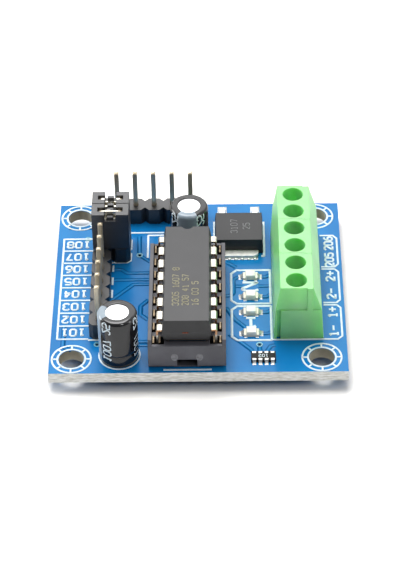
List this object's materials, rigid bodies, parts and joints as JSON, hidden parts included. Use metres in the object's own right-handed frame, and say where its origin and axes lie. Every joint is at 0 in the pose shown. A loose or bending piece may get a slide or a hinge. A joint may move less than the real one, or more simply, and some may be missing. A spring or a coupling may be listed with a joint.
{
  "type": "dc motor driver module",
  "caption": "Small circuit board with a socketed driver chip, pin headers, screw terminals, a regulator, capacitors and status lights for running two dc motors.",
  "frame": {"origin": "centre of the four mounting holes on the underside of the board", "axes": "+X along the board's long side towards the screw terminals, +Y towards the supply header, +Z out of the component side"},
  "size_m": [0.039, 0.0342, 0.0118],
  "materials": {
    "board": "blue solder mask over glass-fibre laminate",
    "solder": "bright tin solder",
    "socket_plastic": "moulded, fine matte",
    "contact_metal": "spring bronze, tinned edges",
    "chip_resin": "moulded epoxy, matte",
    "tinned_lead": "bright tinned",
    "header_plastic": "moulded, matte",
    "header_pin": "tinned square wire",
    "cap_plastic": "moulded, satin",
    "clip_metal": "tinned spring bronze",
    "terminal_plastic": "moulded light green polyamide",
    "clamp_metal": "zinc plated",
    "screw_metal": "zinc plated",
    "can_metal": "drawn aluminium",
    "sleeve_film": "shrunk film, glossy black with a grey stripe",
    "bung_rubber": "moulded rubber",
    "regulator_resin": "moulded epoxy, matte",
    "regulator_metal": "tinned copper",
    "led_base": "white laminate with gilt ends",
    "led_lens": "milky clear resin",
    "array_ceramic": "black glaze on ceramic"
  },
  "bodies": {
    "board": {"circuit_board": "board", "solder_joints": "solder", "chip_socket": "socket_plastic", "socket_contacts": "contact_metal", "driver_chip": "chip_resin", "chip_leads": "tinned_lead", "input_header": "header_plastic", "input_header_pins": "header_pin", "enable_header": "header_plastic", "enable_header_pins": "header_pin", "supply_header": "header_plastic", "supply_header_pins": "header_pin", "regulator_body": "regulator_resin", "regulator_tab": "regulator_metal", "regulator_legs": "regulator_metal", "resistor_array": "array_ceramic", "resistor_terminals": "solder", "terminal_housing_1": "terminal_plastic", "terminal_housing_2": "terminal_plastic", "terminal_housing_3": "terminal_plastic", "terminal_contact_1": "tinned_lead", "terminal_contact_2": "tinned_lead", "terminal_contact_3": "tinned_lead", "terminal_contact_4": "tinned_lead", "terminal_contact_5": "tinned_lead", "terminal_contact_6": "tinned_lead", "front_capacitor_can": "can_metal", "front_capacitor_sleeve": "sleeve_film", "front_capacitor_bung": "bung_rubber", "front_capacitor_leads": "tinned_lead", "rear_capacitor_can": "can_metal", "rear_capacitor_sleeve": "sleeve_film", "rear_capacitor_bung": "bung_rubber", "rear_capacitor_leads": "tinned_lead", "led_base_1": "led_base", "led_lens_1": "led_lens", "led_base_2": "led_base", "led_lens_2": "led_lens", "led_base_3": "led_base", "led_lens_3": "led_lens", "led_base_4": "led_base", "led_lens_4": "led_lens"},
    "screw_1": {"terminal_screw_1": "screw_metal"},
    "clamp_1": {"terminal_clamp_1": "clamp_metal"},
    "screw_2": {"terminal_screw_2": "screw_metal"},
    "clamp_2": {"terminal_clamp_2": "clamp_metal"},
    "screw_3": {"terminal_screw_3": "screw_metal"},
    "clamp_3": {"terminal_clamp_3": "clamp_metal"},
    "screw_4": {"terminal_screw_4": "screw_metal"},
    "clamp_4": {"terminal_clamp_4": "clamp_metal"},
    "screw_5": {"terminal_screw_5": "screw_metal"},
    "clamp_5": {"terminal_clamp_5": "clamp_metal"},
    "screw_6": {"terminal_screw_6": "screw_metal"},
    "clamp_6": {"terminal_clamp_6": "clamp_metal"},
    "jumper_1": {"jumper_cap_1": "cap_plastic", "jumper_clip_1": "clip_metal"},
    "jumper_2": {"jumper_cap_2": "cap_plastic", "jumper_clip_2": "clip_metal"}
  },
  "joints": [
    {"name": "screw_1_turn", "type": "hinge", "parent": "board", "child": "screw_1", "pos_m": [0.01307, -0.00897, 0.0078], "axis": [0, 0, -1], "range_deg": [0, 1080]},
    {"name": "clamp_1_lift", "type": "slide", "parent": "board", "child": "clamp_1", "axis": [0, 0, 1], "range_m": [0, 0.0012]},
    {"name": "screw_2_turn", "type": "hinge", "parent": "board", "child": "screw_2", "pos_m": [0.01307, -0.00547, 0.0078], "axis": [0, 0, -1], "range_deg": [0, 1080]},
    {"name": "clamp_2_lift", "type": "slide", "parent": "board", "child": "clamp_2", "axis": [0, 0, 1], "range_m": [0, 0.0012]},
    {"name": "screw_3_turn", "type": "hinge", "parent": "board", "child": "screw_3", "pos_m": [0.01307, -0.00197, 0.0078], "axis": [0, 0, -1], "range_deg": [0, 1080]},
    {"name": "clamp_3_lift", "type": "slide", "parent": "board", "child": "clamp_3", "axis": [0, 0, 1], "range_m": [0, 0.0012]},
    {"name": "screw_4_turn", "type": "hinge", "parent": "board", "child": "screw_4", "pos_m": [0.01307, 0.00153, 0.0078], "axis": [0, 0, -1], "range_deg": [0, 1080]},
    {"name": "clamp_4_lift", "type": "slide", "parent": "board", "child": "clamp_4", "axis": [0, 0, 1], "range_m": [0, 0.0012]},
    {"name": "screw_5_turn", "type": "hinge", "parent": "board", "child": "screw_5", "pos_m": [0.01307, 0.00503, 0.0078], "axis": [0, 0, -1], "range_deg": [0, 1080]},
    {"name": "clamp_5_lift", "type": "slide", "parent": "board", "child": "clamp_5", "axis": [0, 0, 1], "range_m": [0, 0.0012]},
    {"name": "screw_6_turn", "type": "hinge", "parent": "board", "child": "screw_6", "pos_m": [0.01307, 0.00853, 0.0078], "axis": [0, 0, -1], "range_deg": [0, 1080]},
    {"name": "clamp_6_lift", "type": "slide", "parent": "board", "child": "clamp_6", "axis": [0, 0, 1], "range_m": [0, 0.0012]},
    {"name": "jumper_1_pull", "type": "slide", "parent": "board", "child": "jumper_1", "axis": [0, 0, 1], "range_m": [0, 0.0065]},
    {"name": "jumper_2_pull", "type": "slide", "parent": "board", "child": "jumper_2", "axis": [0, 0, 1], "range_m": [0, 0.0065]}
  ],
  "couplings": [
    {"joint": "screw_1_turn", "follows": "clamp_1_lift", "rad_per_m": 15700},
    {"joint": "screw_2_turn", "follows": "clamp_2_lift", "rad_per_m": 15700},
    {"joint": "screw_3_turn", "follows": "clamp_3_lift", "rad_per_m": 15700},
    {"joint": "screw_4_turn", "follows": "clamp_4_lift", "rad_per_m": 15700},
    {"joint": "screw_5_turn", "follows": "clamp_5_lift", "rad_per_m": 15700},
    {"joint": "screw_6_turn", "follows": "clamp_6_lift", "rad_per_m": 15700}
  ]
}
